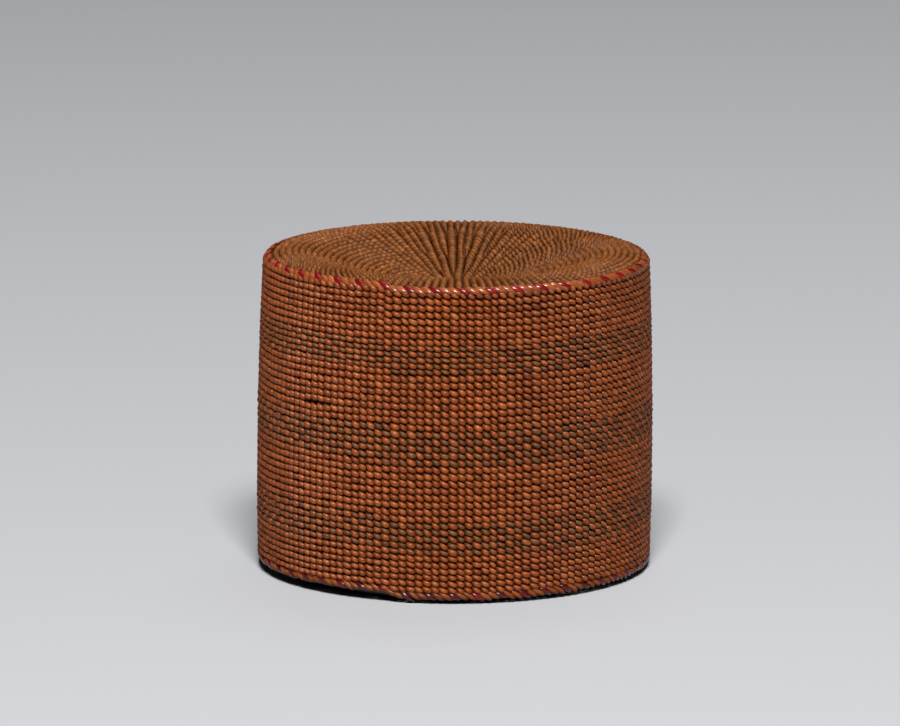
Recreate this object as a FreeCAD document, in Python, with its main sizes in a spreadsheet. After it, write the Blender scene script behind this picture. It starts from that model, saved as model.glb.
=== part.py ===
import FreeCAD, Part
import math
import os
import Sketcher

# Tea caddy: a black vessel with an inner lid, under a full-depth cover of two-strand twining.
# Millimetres, +Z up, origin on the floor under the middle of the vessel.

doc = FreeCAD.newDocument("tea_caddy")
sheet = doc.addObject("Spreadsheet::Sheet", "Sizes")

DRIVING_SIZES = (
    ("belly_radius", 42.1, "outside of the wall's stitches where the wall is widest"),
    ("belly_height", 22.0, "height of the widest place"),
    ("belly_curve", 925.0, "radius of the wall's barrel curve"),
    ("wall_height", 65.4, "height at which the uprights start to bend over the rim"),
    ("rim_bend", 0.6, "radius of that bend, at the middle of an upright"),
    ("rim_lean_angle", 18.0, "degrees by which the shoulder still falls outwards at the rim"),
    ("shoulder_curve", 14.65, "radius of the rounded shoulder, at the middle of an upright"),
    ("dish_slope_angle", 18.0, "degrees by which the side of the dish falls inwards"),
    ("bowl_curve", 48.5, "radius of the bottom of the dish, at the middle of an upright"),
    ("warp_thickness", 0.7, "thickness of an upright"),
    ("warp_width", 0.7, "width of an upright"),
    ("course_thickness", 0.95, "thickness of an outer row at its crest"),
    ("back_thickness", 0.85, "thickness of an inner row at its crest"),
    ("rib_height", 0.5, "how far a row's crest stands over the groove between rows"),
    ("lay_gap", 0.05, "room between strands that lie on each other"),
    ("sector_count", 29, "repeats of the uprights round the cover, five uprights in each"),
    ("first_start", 3.2, "radius at which the first uprights start"),
    ("second_start", 10.5, "radius at which the second uprights are added"),
    ("third_start", 18.4, "radius at which the third uprights are added"),
    ("last_start", 28.7, "radius at which the last uprights are added"),
    ("dish_row_pitch", 1.35, "row spacing on the dish"),
    ("upper_row_pitch", 1.22, "row spacing in the wall's upper plain rows and upper band"),
    ("lower_row_pitch", 1.40, "row spacing in the wall's lower band and foot rows"),
    ("band_rows", 5, "rows in each two-tone band"),
    ("plain_rows", 8, "rows in each plain stretch above a band"),
    ("foot_rows", 6, "plain rows under the lowest band"),
    ("foot_strand_radius", 0.4, "half the thickness of a strand of the lower cord"),
    ("foot_gap", 1.3, "height of the lower cord over the floor"),
    ("vessel_clearance", 0.6, "room round the vessel inside the narrowest part of the cover"),
    ("seat_gap", 0.3, "room between the vessel's lip and the underside of the dish"),
    ("lip_thickness", 1.5, "thickness of the vessel's wall above the inner lid's ledge"),
    ("ledge_width", 1.4, "width of the ledge that carries the inner lid"),
    ("base_thickness", 3.0, "thickness of the vessel's base"),
    ("base_step", 1.2, "width of the step by which the base sits in the wall"),
    ("base_step_height", 1.4, "height of that step"),
    ("lid_clearance", 0.3, "room round the inner lid"),
    ("lid_thickness", 2.0, "thickness of the inner lid's disc"),
    ("plug_height", 3.5, "depth of the ring under the inner lid"),
    ("plug_thickness", 1.6, "thickness of that ring"),
    ("knob_radius", 5.5, "radius of the inner lid's knob at its widest"),
    ("knob_neck_radius", 3.6, "radius of the knob's neck"),
    ("knob_neck_height", 1.6, "height of the knob's neck"),
    ("knob_height", 4.4, "height of the knob"),
    ("knob_round", 1.0, "how far the knob's top edge is turned away"),
    ("knob_gap", 1.0, "room between the knob and the underside of the dish"),
)


def add_size(alias, value, meaning):
    """Put one size into the next free row of the sheet."""
    row = len(sheet.getUsedCells()) // 2 + 1
    sheet.set("A%d" % row, meaning)
    sheet.set("B%d" % row, str(value))
    sheet.setAlias("B%d" % row, alias)
    doc.recompute([sheet])


def size(alias):
    """Read one size back from the sheet."""
    return float(sheet.get(alias))


for driving_size in DRIVING_SIZES:
    add_size(*driving_size)


# The woven line: the middle of the fabric in section, from the centre of the dish to the foot

def outward(angle):
    """Unit vector in the section plane, turned from straight up towards the outside."""
    return FreeCAD.Vector(math.sin(angle), 0, math.cos(angle))


class ArcRun:
    """A round stretch of the woven line, whose outside faces along outward(angle)."""

    def __init__(self, centre, radius, first_angle, last_angle, hollow=False):
        self.centre = centre
        self.reach = -radius if hollow else radius
        self.first_angle = first_angle
        self.last_angle = last_angle
        self.length = radius * abs(last_angle - first_angle)

    def point(self, share, offset):
        angle = self.first_angle + share * (self.last_angle - self.first_angle)
        return self.centre + outward(angle) * (self.reach + offset)

    def edge(self, first_share, last_share, offset):
        middle_share = (first_share + last_share) / 2
        shares = (first_share, middle_share, last_share)
        return Part.Arc(*[self.point(share, offset) for share in shares]).toShape()


class StraightRun:
    """A straight stretch of the woven line."""

    def __init__(self, first, last, angle):
        self.first = first
        self.last = last
        self.facing = outward(angle)
        self.length = first.distanceToPoint(last)

    def point(self, share, offset):
        return self.first + (self.last - self.first) * share + self.facing * offset

    def edge(self, first_share, last_share, offset):
        return Part.LineSegment(self.point(first_share, offset), self.point(last_share, offset)).toShape()


face_offset = size("warp_thickness") / 2 + size("lay_gap")
crest_offset = face_offset + size("course_thickness")
back_offset = face_offset + size("back_thickness")

belly_middle = size("belly_radius") - crest_offset
belly_centre = FreeCAD.Vector(belly_middle - size("belly_curve"), 0, size("belly_height"))
foot_cord_radius = size("foot_strand_radius") * (1 + 2 / math.sqrt(3)) + size("lay_gap")
weave_foot = size("foot_gap") + 2 * foot_cord_radius + size("lay_gap")
lean = math.radians(size("rim_lean_angle"))
slope = math.radians(size("dish_slope_angle"))
wall_top_angle = math.pi / 2 - math.asin((size("wall_height") - size("belly_height")) / size("belly_curve"))
wall_foot_angle = math.pi / 2 - math.asin((weave_foot - size("belly_height")) / size("belly_curve"))

wall_run = ArcRun(belly_centre, size("belly_curve"), wall_top_angle, wall_foot_angle)
bend_centre = wall_run.point(0, 0) - outward(wall_top_angle) * size("rim_bend")
bend_run = ArcRun(bend_centre, size("rim_bend"), lean, wall_top_angle)
shoulder_centre = bend_run.point(0, 0) - outward(lean) * size("shoulder_curve")
shoulder_run = ArcRun(shoulder_centre, size("shoulder_curve"), -slope, lean)
slope_top = shoulder_run.point(0, 0)
bowl_edge_radius = size("bowl_curve") * math.sin(slope)
slope_fall = (slope_top.x - bowl_edge_radius) * math.tan(slope)
slope_foot = FreeCAD.Vector(bowl_edge_radius, 0, slope_top.z - slope_fall)
bowl_centre = slope_foot + outward(-slope) * size("bowl_curve")
bowl_run = ArcRun(bowl_centre, size("bowl_curve"), 0, -slope, hollow=True)
slope_run = StraightRun(slope_foot, slope_top, -slope)
WOVEN_LINE = (bowl_run, slope_run, shoulder_run, bend_run, wall_run)

bend_distance = bowl_run.length + slope_run.length + shoulder_run.length
wall_distance = bend_distance + bend_run.length
foot_distance = wall_distance + wall_run.length


def weave_point(distance, offset):
    """Point of the section at a distance along the woven line, offset to its outside."""
    for run in WOVEN_LINE:
        if distance <= run.length or run is wall_run:
            return run.point(distance / run.length, offset)
        distance -= run.length


def distance_at_radius(radius):
    """Distance along the woven line at which the dish reaches a radius."""
    low, high = 0.0, bend_distance
    for halving in range(60):
        middle = (low + high) / 2
        if weave_point(middle, 0).x < radius:
            low = middle
        else:
            high = middle
    return low


def weave_edges(first_distance, last_distance, offset):
    """Edges that follow the woven line between two distances."""
    edges = []
    run_start = 0.0
    for run in WOVEN_LINE:
        first_share = max(0.0, (first_distance - run_start) / run.length)
        last_share = min(1.0, (last_distance - run_start) / run.length)
        if first_share < last_share:
            edges.append(run.edge(first_share, last_share, offset))
        run_start += run.length
    return edges


def straight_edge(first, last):
    return Part.LineSegment(first, last).toShape()


def add_piece(label, shape):
    """Add a piece whose shape follows the woven line."""
    piece = doc.addObject("Part::Feature", label)
    piece.Label = label
    piece.Shape = shape
    piece.Placement = FreeCAD.Placement()
    return piece


# Uprights: flat strips between the outer and the inner rows

WARP_PLACES = {
    "first_warps": ("first_start", (0,)),
    "second_warps": ("second_start", (2,)),
    "third_warps": ("third_start", (4,)),
    "last_warps": ("last_start", (1, 3)),
}
WARPS_PER_SECTOR = 5


def warp_strip(start_radius):
    """One upright in the section plane, from its start on the dish to the foot of the wall."""
    half = size("warp_thickness") / 2
    start = distance_at_radius(start_radius)
    edges = weave_edges(start, foot_distance, half) + weave_edges(start, foot_distance, -half)
    edges.append(straight_edge(weave_point(start, half), weave_point(start, -half)))
    edges.append(straight_edge(weave_point(foot_distance, half), weave_point(foot_distance, -half)))
    outline = Part.Wire(Part.__sortEdges__(edges))
    strip = Part.Face(outline).extrude(FreeCAD.Vector(0, size("warp_width"), 0))
    strip.translate(FreeCAD.Vector(0, -size("warp_width") / 2, 0))
    return strip


def add_warps(label, start_alias, places):
    """One group of uprights, the same places in every sector."""
    strip = warp_strip(size(start_alias))
    sectors = int(size("sector_count"))
    step = 360 / (sectors * WARPS_PER_SECTOR)
    strips = []
    for sector in range(sectors):
        for place in places:
            copy = strip.copy()
            turn = (sector * WARPS_PER_SECTOR + place) * step
            copy.rotate(FreeCAD.Vector(0, 0, 0), FreeCAD.Vector(0, 0, 1), turn)
            strips.append(copy)
    return add_piece(label, Part.makeCompound(strips))


warp_groups = [add_warps(label, *places) for label, places in WARP_PLACES.items()]


# Twined rows: ribbed rings turned about the caddy's axis

def add_courses(label, first_distance, last_distance, rows, outside=True):
    """A stretch of rows, each with a rounded crest, on the outer or the inner face of the uprights."""
    side = 1 if outside else -1
    crest = side * (crest_offset if outside else back_offset)
    groove = crest - side * size("rib_height")
    face = side * face_offset
    pitch = (last_distance - first_distance) / rows
    edges = []
    for row in range(rows):
        start = first_distance + row * pitch
        offsets = (groove, crest, groove)
        rib = [weave_point(start + step * pitch / 2, offset) for step, offset in enumerate(offsets)]
        edges.append(Part.Arc(*rib).toShape())
    edges.append(straight_edge(weave_point(last_distance, groove), weave_point(last_distance, face)))
    for row in reversed(range(rows)):
        start = first_distance + row * pitch
        edges.append(straight_edge(weave_point(start + pitch, face), weave_point(start, face)))
    edges.append(straight_edge(weave_point(first_distance, face), weave_point(first_distance, groove)))
    section = Part.Face(Part.Wire(edges))
    return add_piece(label, section.revolve(FreeCAD.Vector(0, 0, 0), FreeCAD.Vector(0, 0, 1), 360))


def rows_between(first_distance, last_distance):
    return max(1, round((last_distance - first_distance) / size("dish_row_pitch")))


first_distance = distance_at_radius(size("first_start"))
second_distance = distance_at_radius(size("second_start"))
third_distance = distance_at_radius(size("third_start"))
last_distance = distance_at_radius(size("last_start"))
DISH_STRETCHES = (
    ("dish_start", 0.0, first_distance),
    ("dish_first_courses", first_distance, second_distance),
    ("dish_second_courses", second_distance, third_distance),
    ("dish_third_courses", third_distance, last_distance),
    ("dish_shoulder_courses", last_distance, bend_distance),
)
dish_courses = []
for label, first, last in DISH_STRETCHES:
    dish_courses.append(add_courses(label, first, last, rows_between(first, last)))

band_rows = int(size("band_rows"))
plain_rows = int(size("plain_rows"))
foot_rows = int(size("foot_rows"))
upper_end = wall_distance + (plain_rows + band_rows) * size("upper_row_pitch")
lower_start = foot_distance - (band_rows + foot_rows) * size("lower_row_pitch")
middle_row_pitch = (lower_start - upper_end) / (2 * plain_rows + band_rows)

WALL_STRETCHES = (
    ("upper_plain_courses", plain_rows, size("upper_row_pitch")),
    ("upper_band_courses", band_rows, size("upper_row_pitch")),
    ("middle_plain_courses", plain_rows, middle_row_pitch),
    ("middle_band_courses", band_rows, middle_row_pitch),
    ("lower_plain_courses", plain_rows, middle_row_pitch),
    ("lower_band_courses", band_rows, size("lower_row_pitch")),
    ("foot_plain_courses", foot_rows, size("lower_row_pitch")),
)
wall_courses = []
stretch_start = wall_distance
for label, rows, pitch in WALL_STRETCHES:
    wall_courses.append(add_courses(label, stretch_start, stretch_start + rows * pitch, rows))
    stretch_start += rows * pitch

# The inner rows of the dish stop inside those of the wall, so that the two meet at the corner.
back_corner_radius = weave_point(wall_distance, -back_offset).x - size("lay_gap")
dish_back_end = distance_at_radius(back_corner_radius)
dish_back_rows = rows_between(0.0, dish_back_end)
dish_back = add_courses("dish_back_courses", 0.0, dish_back_end, dish_back_rows, outside=False)
wall_rows = sum(rows for label, rows, pitch in WALL_STRETCHES)
wall_back_start = wall_distance + size("lay_gap")
wall_back = add_courses("wall_back_courses", wall_back_start, foot_distance, wall_rows, outside=False)


# Edge cords: three strands each, laid as rings

def add_strand(label, centre, strand_radius_alias):
    """One strand of an edge cord, a ring round the caddy's axis."""
    add_size(label + "_ring", centre.x, "radius of the ring of " + label)
    add_size(label + "_height", centre.z, "height of " + label)
    strand = doc.addObject("Part::Torus", label)
    strand.Label = label
    strand.setExpression("Radius1", "Sizes.%s_ring" % label)
    strand.setExpression("Radius2", "Sizes.%s" % strand_radius_alias)
    strand.setExpression("Placement.Base.z", "Sizes.%s_height" % label)
    return strand


# Two strands of the rim cord lie on the bend of the uprights, and the red one lies between them.
rim_share = (wall_top_angle - lean) / 4
rim_base = size("rim_bend") + face_offset + size("lay_gap")
rim_strand_radius = (rim_base * math.sin(rim_share) - size("lay_gap") / 2) / (1 - math.sin(rim_share))
add_size("rim_strand_radius", rim_strand_radius, "half the thickness of a strand of the rim cord")
rim_middle = (lean + wall_top_angle) / 2
rim_inner_reach = rim_base + rim_strand_radius
rim_side_step = rim_inner_reach * math.sin(rim_share)
rim_outer_step = math.sqrt((2 * rim_strand_radius + size("lay_gap")) ** 2 - rim_side_step ** 2)
rim_outer_reach = rim_inner_reach * math.cos(rim_share) + rim_outer_step
rim_strands = [
    add_strand("rim_red_strand", bend_centre + outward(rim_middle) * rim_outer_reach, "rim_strand_radius"),
    add_strand("rim_first_tan_strand", bend_centre + outward(rim_middle - rim_share) * rim_inner_reach,
               "rim_strand_radius"),
    add_strand("rim_second_tan_strand", bend_centre + outward(rim_middle + rim_share) * rim_inner_reach,
               "rim_strand_radius"),
]

foot_cord_centre = FreeCAD.Vector(weave_point(foot_distance, crest_offset).x - foot_cord_radius, 0,
                                  size("foot_gap") + foot_cord_radius)
foot_strand_reach = foot_cord_radius - size("foot_strand_radius")
FOOT_STRAND_TURNS = {"foot_red_strand": 90, "foot_first_tan_strand": 210, "foot_second_tan_strand": 330}
foot_strands = []
for label, turn in FOOT_STRAND_TURNS.items():
    strand_centre = foot_cord_centre + outward(math.radians(turn)) * foot_strand_reach
    foot_strands.append(add_strand(label, strand_centre, "foot_strand_radius"))


# Vessel and inner lid: turned bodies

vessel_radius = back_corner_radius - size("vessel_clearance")
lip_distance = distance_at_radius(vessel_radius)
vessel_height = weave_point(lip_distance, -back_offset).z - size("seat_gap")
add_size("vessel_radius", vessel_radius, "outside of the vessel, which clears the cover")
add_size("vessel_height", vessel_height, "top of the vessel's lip, under the shoulder of the cover")

# The inner lid hangs its knob just under the dish, so the ledge follows the dish.
dish_underside = weave_point(0.0, -back_offset).z
lid_stack = size("lid_thickness") + size("knob_height") + size("knob_gap")
add_size("ledge_height", dish_underside - lid_stack, "height of the ledge that carries the inner lid")


def plane_of(body, role):
    return [feature for feature in body.Origin.OriginFeatures if feature.Role == role][0]


def add_turned_body(label, corners):
    """A body turned about the caddy's axis, from the radius and height of each corner of its section."""
    body = doc.addObject("PartDesign::Body", label)
    body.Label = label
    section = body.newObject("Sketcher::SketchObject", label + "_section")
    section.AttachmentSupport = (plane_of(body, "XZ_Plane"), [""])
    section.MapMode = "FlatFace"
    places = [[float(sheet.evalExpression(text)) for text in corner] for corner in corners]
    points = [FreeCAD.Vector(radius, height, 0) for radius, height in places]
    count = len(points)
    for corner in range(count):
        section.addGeometry(Part.LineSegment(points[corner], points[(corner + 1) % count]))
    for corner in range(count):
        section.addConstraint(Sketcher.Constraint("Coincident", corner, 2, (corner + 1) % count, 1))
    for corner, texts in enumerate(corners):
        for kind, axis, text, place in zip(("DistanceX", "DistanceY"), (-2, -1), texts, places[corner]):
            if place == 0:
                section.addConstraint(Sketcher.Constraint("PointOnObject", corner, 1, axis))
            else:
                index = section.addConstraint(Sketcher.Constraint(kind, -1, 1, corner, 1, place))
                section.setExpression("Constraints[%d]" % index, text)
    turned = body.newObject("PartDesign::Revolution", label + "_turned")
    turned.Profile = section
    turned.ReferenceAxis = (section, ["V_Axis"])
    turned.Angle = 360
    return body


LIP_INSIDE = "Sizes.vessel_radius - Sizes.lip_thickness"
BORE = LIP_INSIDE + " - Sizes.ledge_width"
STEP_INSIDE = BORE + " + Sizes.base_step"
LID_TOP = "Sizes.ledge_height + Sizes.lid_thickness"
NECK_TOP = LID_TOP + " + Sizes.knob_neck_height"
KNOB_TOP = LID_TOP + " + Sizes.knob_height"
PLUG_RADIUS = BORE + " - Sizes.lid_clearance"
PLUG_FOOT = "Sizes.ledge_height - Sizes.plug_height"

vessel_wall = add_turned_body("vessel_wall", (
    (STEP_INSIDE, "0"),
    ("Sizes.vessel_radius", "0"),
    ("Sizes.vessel_radius", "Sizes.vessel_height"),
    (LIP_INSIDE, "Sizes.vessel_height"),
    (LIP_INSIDE, "Sizes.ledge_height"),
    (BORE, "Sizes.ledge_height"),
    (BORE, "Sizes.base_step_height"),
    (STEP_INSIDE, "Sizes.base_step_height"),
))
vessel_base = add_turned_body("vessel_base", (
    ("0", "0"),
    (STEP_INSIDE, "0"),
    (STEP_INSIDE, "Sizes.base_step_height"),
    (BORE, "Sizes.base_step_height"),
    (BORE, "Sizes.base_thickness"),
    ("0", "Sizes.base_thickness"),
))
lid_disc = add_turned_body("inner_lid_disc", (
    ("0", "Sizes.ledge_height"),
    (LIP_INSIDE + " - Sizes.lid_clearance", "Sizes.ledge_height"),
    (LIP_INSIDE + " - Sizes.lid_clearance", LID_TOP),
    ("0", LID_TOP),
))
lid_rim = add_turned_body("inner_lid_rim", (
    (PLUG_RADIUS + " - Sizes.plug_thickness", PLUG_FOOT),
    (PLUG_RADIUS, PLUG_FOOT),
    (PLUG_RADIUS, "Sizes.ledge_height"),
    (PLUG_RADIUS + " - Sizes.plug_thickness", "Sizes.ledge_height"),
))
lid_knob = add_turned_body("inner_lid_knob", (
    ("0", LID_TOP),
    ("Sizes.knob_neck_radius", LID_TOP),
    ("Sizes.knob_neck_radius", NECK_TOP),
    ("Sizes.knob_radius", NECK_TOP),
    ("Sizes.knob_radius", KNOB_TOP + " - Sizes.knob_round"),
    ("Sizes.knob_radius - Sizes.knob_round", KNOB_TOP),
    ("0", KNOB_TOP),
))


# Every piece is checked before any is written

pieces = (warp_groups + dish_courses + wall_courses + [dish_back, wall_back] + rim_strands + foot_strands
          + [vessel_wall, vessel_base, lid_disc, lid_rim, lid_knob])
doc.recompute()
for item in doc.Objects:
    if "Invalid" in item.State or "Error" in item.State:
        raise RuntimeError("%s failed: %s" % (item.Label, item.State))
for piece in pieces:
    if piece.Shape.isNull() or not piece.Shape.isValid():
        raise RuntimeError("%s has no valid shape" % piece.Label)

os.makedirs("parts", exist_ok=True)
for piece in pieces:
    piece.Shape.exportStep("parts/%s.step" % piece.Label)
    print("%s: %d solids, %.1f mm3" % (piece.Label, len(piece.Shape.Solids), piece.Shape.Volume))
print("vessel: radius %.2f mm, height %.2f mm" % (vessel_radius, vessel_height))
print("dish: centre at %.2f mm, underside at %.2f mm" % (weave_point(0, crest_offset).z, dish_underside))
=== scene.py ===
"""Tea caddy with a twined cover: every stitch of the cover, the lacquered vessel and its inner lid."""

import math
from dataclasses import dataclass

import bpy
import numpy as np
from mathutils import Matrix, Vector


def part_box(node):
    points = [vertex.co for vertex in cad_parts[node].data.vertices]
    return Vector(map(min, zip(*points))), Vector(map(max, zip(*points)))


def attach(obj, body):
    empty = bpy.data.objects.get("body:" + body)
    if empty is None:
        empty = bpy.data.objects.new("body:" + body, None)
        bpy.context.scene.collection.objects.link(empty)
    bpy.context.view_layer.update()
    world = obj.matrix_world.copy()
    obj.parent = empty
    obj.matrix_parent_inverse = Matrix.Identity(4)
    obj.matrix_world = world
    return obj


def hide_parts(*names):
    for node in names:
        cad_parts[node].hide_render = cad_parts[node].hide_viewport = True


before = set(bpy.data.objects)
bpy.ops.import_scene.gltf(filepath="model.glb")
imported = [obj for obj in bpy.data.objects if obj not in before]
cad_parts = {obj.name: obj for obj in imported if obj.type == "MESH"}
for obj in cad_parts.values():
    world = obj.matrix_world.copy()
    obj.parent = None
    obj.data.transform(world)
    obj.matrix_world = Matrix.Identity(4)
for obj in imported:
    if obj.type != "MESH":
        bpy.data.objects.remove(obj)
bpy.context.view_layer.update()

bl_info = {
    "name": "Twined Tea Caddy",
    "version": (1, 0, 0),
    "blender": (4, 5, 0),
    "location": "View3D > Sidebar > Caddy",
    "description": "Builds a tea caddy with a twined cover around its packed parts",
    "category": "Add Mesh",
}

MM = 0.001
COVER = "cover"
VESSEL = "vessel"
INNER_LID = "inner_lid"


def top_of(node):
    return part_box(node)[1][2]


def foot_of(node):
    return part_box(node)[0][2]


def radius_of(node):
    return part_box(node)[1][0]


def linear_colour(hex_text):
    """Turn an sRGB hex value into linear red, green and blue."""
    shares = [int(hex_text[place:place + 2], 16) / 255 for place in (1, 3, 5)]
    return [share / 12.92 if share <= 0.04045 else ((share + 0.055) / 1.055) ** 2.4 for share in shares]


def length_property(label, description, default):
    return bpy.props.FloatProperty(name=label, description=description, default=default, unit="LENGTH",
                                   subtype="DISTANCE", precision=5)


def angle_property(label, description, degrees):
    return bpy.props.FloatProperty(name=label, description=description, default=math.radians(degrees),
                                   unit="ROTATION", subtype="ANGLE")


def count_property(label, description, default):
    return bpy.props.IntProperty(name=label, description=description, default=default, min=1)


def colour_property(label, description, hex_text):
    return bpy.props.FloatVectorProperty(name=label, description=description, size=3, min=0, max=1,
                                         default=linear_colour(hex_text), subtype="COLOR")


class CaddyShape(bpy.types.PropertyGroup):
    """The line that the cover's fabric follows in section, and the rows on it."""
    belly_radius: length_property("Belly radius", "Outside of the stitches where the wall is widest",
                                  radius_of("middle_band_courses"))
    belly_height: length_property("Belly height", "Height of the widest place", 22 * MM)
    belly_curve: length_property("Belly curve", "Radius of the wall's barrel curve", 925 * MM)
    wall_top: length_property("Wall top", "Height at which the uprights bend over the rim",
                              top_of("upper_plain_courses"))
    rim_bend: length_property("Rim bend", "Radius of that bend at the middle of an upright", 0.6 * MM)
    rim_lean: angle_property("Rim lean", "How far the shoulder falls outwards at the rim", 18)
    shoulder_curve: length_property("Shoulder curve", "Radius of the rounded shoulder", 14.65 * MM)
    dish_slope: angle_property("Dish slope", "How far the side of the dish falls inwards", 18)
    bowl_curve: length_property("Bowl curve", "Radius of the bottom of the dish", 48.5 * MM)
    crest: length_property("Crest", "Height of a stitch's crest over the middle of the uprights", 1.35 * MM)
    proud: length_property("Proud", "How far the crests stand over the even fabric", 0.15 * MM)
    lean: length_property("Lean", "How far the rim stands right of the foot", 0.55 * MM)
    columns: count_property("Columns", "Uprights round the wall, an odd number so that colours swap", 145)
    sectors: count_property("Sectors", "Uprights that start at the centre of the dish", 29)
    plain_rows: count_property("Plain rows", "Rows in each plain stretch over a band", 8)
    band_rows: count_property("Band rows", "Rows in each two-tone band", 5)
    foot_rows: count_property("Foot rows", "Plain rows under the lowest band", 6)
    dish_pitch: length_property("Dish pitch", "Row spacing on the dish", 1.35 * MM)
    step_angle: angle_property("Step angle", "Where the spiral of rows starts, right of the front", -22.6)
    rim_rise: length_property("Rim rise", "How far the rows climb past the start of the bend", 0.95 * MM)
    row_drop: length_property("Row drop", "How far the rows of the wall have slid down", 0.5 * MM)
    rim_tilt: length_property("Rim tilt", "How far the rim is low on the right and high on the left",
                              0.15 * MM)


class CaddyColours(bpy.types.PropertyGroup):
    """The colours of the strands and of the lacquer."""
    natural_pale: colour_property("Natural, pale", "Palest stitches of the natural strand", "#9F572B")
    natural_middle: colour_property("Natural, middle", "Usual colour of the natural strand", "#8B441C")
    natural_deep: colour_property("Natural, deep", "Darkest stitches of the natural strand", "#6C3214")
    worn_pale: colour_property("Worn, pale", "Palest stitches of the dish", "#8A5020")
    worn_middle: colour_property("Worn, middle", "Usual colour of the dish", "#744017")
    worn_deep: colour_property("Worn, deep", "Darkest stitches of the dish", "#562E0D")
    dyed_pale: colour_property("Dyed, pale", "Palest stitches of the dark strand", "#7C4C29")
    dyed_middle: colour_property("Dyed, middle", "Usual colour of the dark strand", "#693E1F")
    dyed_deep: colour_property("Dyed, deep", "Darkest stitches of the dark strand", "#4D2B15")
    red_pale: colour_property("Red, pale", "Palest stitches of the red strand", "#8E1512")
    red_middle: colour_property("Red, middle", "Usual colour of the red strand", "#760C0C")
    red_deep: colour_property("Red, deep", "Darkest stitches of the red strand", "#4E0708")
    lacquer: colour_property("Lacquer", "Black lacquer of the vessel", "#15110F")
    lacquer_worn: colour_property("Lacquer, worn", "Brown that shows where an edge is rubbed", "#3A2216")
    floor: colour_property("Floor", "Pale floor of the studio", "#ABACAF")
    floor_bounce: colour_property("Floor, bounce", "Floor as it lights the caddy from below", "#57585A")


# The woven line

LINE_SAMPLES = 4000


def outward(angle):
    """Radius and height parts of a unit vector turned from straight up towards the outside."""
    return np.sin(angle), np.cos(angle)


class WovenLine:
    """Places on the middle of the fabric: radius, height and the angle that its outside faces."""

    def __init__(self, shape):
        self.shape = shape
        self.wall_radius = shape.belly_radius - shape.crest
        top_radius, top_angle = self.wall_at(shape.wall_top)
        bend_r = top_radius - shape.rim_bend * math.sin(top_angle)
        bend_z = shape.wall_top - shape.rim_bend * math.cos(top_angle)
        lean_r, lean_z = outward(shape.rim_lean)
        self.shoulder_r = bend_r + (shape.rim_bend - shape.shoulder_curve) * lean_r
        self.shoulder_z = bend_z + (shape.rim_bend - shape.shoulder_curve) * lean_z
        slope = shape.dish_slope
        top_r = self.shoulder_r - shape.shoulder_curve * math.sin(slope)
        top_z = self.shoulder_z + shape.shoulder_curve * math.cos(slope)
        self.bowl_edge = shape.bowl_curve * math.sin(slope)
        edge_z = top_z - (top_r - self.bowl_edge) * math.tan(slope)
        self.bowl_z = edge_z + shape.bowl_curve * math.cos(slope)
        self.bowl_length = shape.bowl_curve * slope
        self.slope_length = (top_r - self.bowl_edge) / math.cos(slope)
        self.shoulder_length = shape.shoulder_curve * (slope + shape.rim_lean)
        self.length = self.bowl_length + self.slope_length + self.shoulder_length

    def wall_at(self, height):
        """Radius and facing angle of the wall at a height."""
        lift = (height - self.shape.belly_height) / self.shape.belly_curve
        drawn_in = self.shape.belly_curve * (1 - np.sqrt(1 - lift ** 2))
        return self.wall_radius - drawn_in, math.pi / 2 - np.arcsin(lift)

    def dish_at(self, distance):
        """Radius, height and facing angle of the dish at a distance from its centre."""
        shape = self.shape
        turn = np.clip(distance, 0, self.bowl_length) / shape.bowl_curve
        radius = shape.bowl_curve * np.sin(turn)
        height = self.bowl_z - shape.bowl_curve * np.cos(turn)
        angle = -turn
        climb = np.clip(distance - self.bowl_length, 0, self.slope_length)
        radius = radius + climb * math.cos(shape.dish_slope)
        height = height + climb * math.sin(shape.dish_slope)
        past = distance - self.bowl_length - self.slope_length
        over = np.clip(past, 0, None) / shape.shoulder_curve - shape.dish_slope
        on_shoulder = past > 0
        radius = np.where(on_shoulder, self.shoulder_r + shape.shoulder_curve * np.sin(over), radius)
        height = np.where(on_shoulder, self.shoulder_z + shape.shoulder_curve * np.cos(over), height)
        angle = np.where(on_shoulder, over, angle)
        return radius, height, angle

    def distance_at(self, radius):
        """Distance from the centre of the dish at which it reaches a radius."""
        distances = np.linspace(0, self.length, LINE_SAMPLES)
        return float(np.interp(radius, self.dish_at(distances)[0], distances))


# Stitches

# How far stitches differ, as shares of their own measures, and the most that one draw may be.
UNEVEN_LENGTH = 0.05
UNEVEN_HEIGHT = 0.06
UNEVEN_DEPTH = 0.07
UNEVEN_SLANT = 0.22
UNEVEN_SHIFT = 0.03
UNEVEN_SINK = 0.05
UNEVEN_LIMIT = 2

# How a stitch bends and thins towards its ends, and how far its sides stand out of the grooves; the last
# only sets the painted shade of its sides.
END_CURVE = 2.2
END_FULLNESS = 0.55
SIDE_RISE = 0.55

SMALLEST_RADIUS = 0.4 * MM
STRAIGHT_SHARE = 0.35
BAKE_MARGIN = 0.06
TONE_SPREAD = 0.13

# The map of a strand: rows round it, millimetres to start in, and the shift across for each of them.
STRAND_ROUND = 3
STRAND_STARTS = 40
STRAND_SHEAR = 1.7


@dataclass
class StitchForm:
    """The form of one kind of stitch."""
    reach: float  # half of its length, as a share of its column
    height: float  # half of its height, as a share of its row
    depth: float  # half of its thickness, in metres
    slant: float  # how far its right end drops under its middle, as a share of its row
    dive: float  # how far its ends sink between the uprights, in metres
    rings: int = 7
    sides: int = 10
    skew: float = 0.12  # how much thinner its right end is
    spread: float = 1.0  # how uneven it is, against the usual
    shingle: float = 0.0  # how far its crest is moved to the right


class StitchRun:
    """Stitches that are gathered before their mesh is made."""

    def __init__(self, form):
        self.form = form
        self.rows = []

    def add(self, **row):
        self.rows.append(row)

    def gather(self, key):
        return np.concatenate([np.broadcast_to(row[key], row["turn"].shape) for row in self.rows])


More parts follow.
